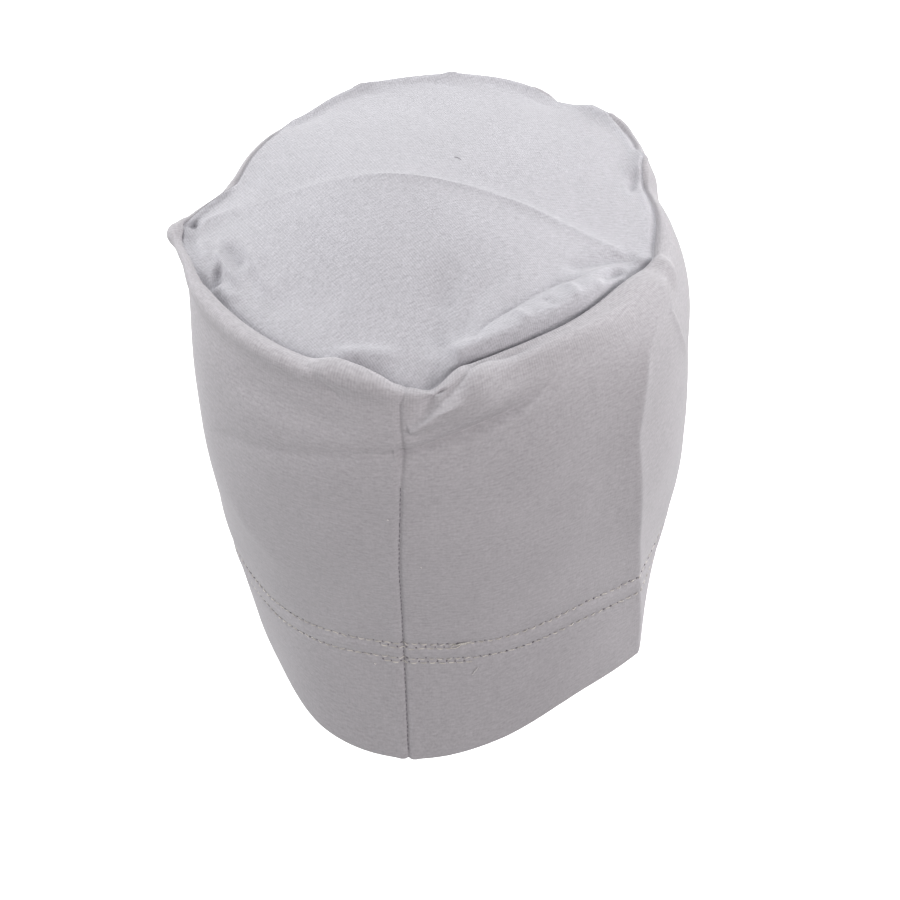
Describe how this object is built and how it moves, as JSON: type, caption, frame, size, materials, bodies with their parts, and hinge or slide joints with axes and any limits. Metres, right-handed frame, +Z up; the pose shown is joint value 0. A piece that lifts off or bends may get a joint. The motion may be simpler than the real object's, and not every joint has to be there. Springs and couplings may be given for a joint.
{
  "type": "turban",
  "caption": "Soft jersey head wrap as worn: domed oval crown, rolled rim with a pleat, side wall with back seam and deep stitched hem.",
  "frame": {"origin": "inner side of the crown at its top, where the top of a head bears", "axes": "+Z up, -Y the front over the forehead, +Y the centre back with the seam, +X the wearer's left"},
  "size_m": [0.1761, 0.1899, 0.1933],
  "materials": {
    "jersey": "matt fine-rib jersey knit, grey"
  },
  "bodies": {
    "root": {"crown": "jersey", "wall": "jersey", "hem_turn_up": "jersey"}
  },
  "joints": []
}
